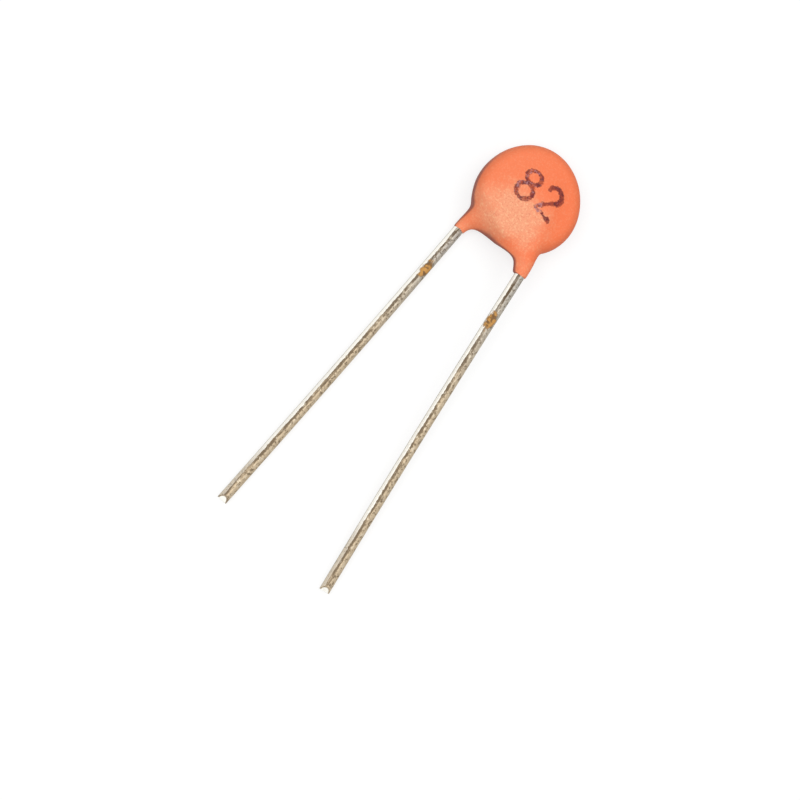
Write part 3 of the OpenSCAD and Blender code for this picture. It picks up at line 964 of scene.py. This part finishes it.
def build_world():
    """An even sky, dimmer as light than it looks."""
    world = bpy.data.worlds.new("Soft studio")
    bpy.context.scene.world = world
    world.use_nodes = True
    n = Nodes(world.node_tree)
    background = world.node_tree.nodes["Background"]
    n.put(background.inputs["Color"], (1.0, 1.0, 1.0, 1.0))
    n.put(background.inputs["Strength"], n.step(seen_straight(n), 0.0, 1.0, SKY_LIGHT, 1.0))


def build_camera(stage):
    """The camera, leaning from straight above, with the part askew in its view."""
    right = Vector((math.cos(stage.camera_turn), math.sin(stage.camera_turn), 0.0))
    tilt = Matrix.Rotation(stage.camera_tilt, 3, UP.cross(TILT_TOWARDS))
    right, up, back = tilt @ right, tilt @ UP.cross(right), tilt @ UP
    target = DISC_CENTRE - right * DISC_IN_VIEW[0] * MM - up * DISC_IN_VIEW[1] * MM
    camera = bpy.data.objects.new("camera", bpy.data.cameras.new("camera"))
    camera.data.sensor_width = SENSOR
    camera.data.lens = SENSOR * stage.camera_distance / stage.view_width
    camera.data.clip_start = NEAREST
    camera.data.clip_end = FARTHEST
    turn = Matrix((right, up, back)).transposed().to_4x4()
    camera.matrix_world = Matrix.Translation(target + back * stage.camera_distance) @ turn
    bpy.context.scene.collection.objects.link(camera)
    bpy.context.scene.camera = camera


# ---------------------------------------------------------------- operators


class CAPACITOR_OT_core(bpy.types.Operator):
    """Finish the ceramic disc, its electrodes and its solder joints"""

    bl_idname = "capacitor.core"
    bl_label = "Disc and Joints"

    def execute(self, context):
        for name, nodes, colour, metallic, roughness, scale in HIDDEN_FINISHES:
            material = plain_material(name, colour, metallic, roughness, scale)
            for node in nodes:
                mesh = frame["nodes"][node].data
                for index in range(len(mesh.materials)):
                    mesh.materials[index] = material
        return {"FINISHED"}


class CAPACITOR_OT_coat(bpy.types.Operator):
    """Build the dipped resin coat with its stamped number"""

    bl_idname = "capacitor.coat"
    bl_label = "Resin Coat"

    def execute(self, context):
        scene = context.scene
        material = resin_material(scene.capacitor_coat, scene.capacitor_mark)
        bm = build_coat(scene.capacitor_coat, scene.capacitor_leads)
        ride(finished("dipped_coat", bm, material), "resin_coat")
        return {"FINISHED"}


class CAPACITOR_OT_leads(bpy.types.Operator):
    """Build both tinned wire leads"""

    bl_idname = "capacitor.leads"
    bl_label = "Leads"

    def execute(self, context):
        leads = context.scene.capacitor_leads
        for side, name in SIDE_NAMES.items():
            piece = finished(name + "_wire", build_wire(side, leads), wire_material(side, leads))
            ride(piece, name + "_lead")
        return {"FINISHED"}


class CAPACITOR_OT_stage(bpy.types.Operator):
    """Set up the floor, the lamps, the sky and the camera"""

    bl_idname = "capacitor.stage"
    bl_label = "Stage"

    def execute(self, context):
        build_floor(context.scene.capacitor_stage)
        build_lamps()
        build_world()
        build_camera(context.scene.capacitor_stage)
        context.scene.view_settings.view_transform = "Standard"
        return {"FINISHED"}


class CAPACITOR_PT_panel(bpy.types.Panel):
    """Lists the pieces of the capacitor"""

    bl_idname = "CAPACITOR_PT_panel"
    bl_label = "Ceramic Disc Capacitor"
    bl_space_type = "VIEW_3D"
    bl_region_type = "UI"
    bl_category = "Capacitor"

    def draw(self, context):
        for operator, settings in PIECES:
            self.layout.operator(operator)
            for owner in settings:
                box = self.layout.box()
                group = getattr(context.scene, owner)
                for name in group.__annotations__:
                    box.prop(group, name)


SETTINGS = {
    "capacitor_coat": CoatSettings,
    "capacitor_mark": MarkSettings,
    "capacitor_leads": LeadSettings,
    "capacitor_stage": StageSettings,
}
PIECES = (
    ("capacitor.core", ()),
    ("capacitor.coat", ("capacitor_coat", "capacitor_mark")),
    ("capacitor.leads", ("capacitor_leads",)),
    ("capacitor.stage", ("capacitor_stage",)),
)
CLASSES = (*SETTINGS.values(), CAPACITOR_OT_core, CAPACITOR_OT_coat, CAPACITOR_OT_leads,
           CAPACITOR_OT_stage, CAPACITOR_PT_panel)


def register():
    for cls in CLASSES:
        bpy.utils.register_class(cls)
    for name, cls in SETTINGS.items():
        setattr(bpy.types.Scene, name, bpy.props.PointerProperty(type=cls))


def unregister():
    for name in SETTINGS:
        delattr(bpy.types.Scene, name)
    for cls in reversed(CLASSES):
        bpy.utils.unregister_class(cls)


def main():
    register()
    bpy.ops.capacitor.core()
    bpy.ops.capacitor.coat()
    bpy.ops.capacitor.leads()
    bpy.ops.capacitor.stage()


if __name__ == "__main__":
    main()
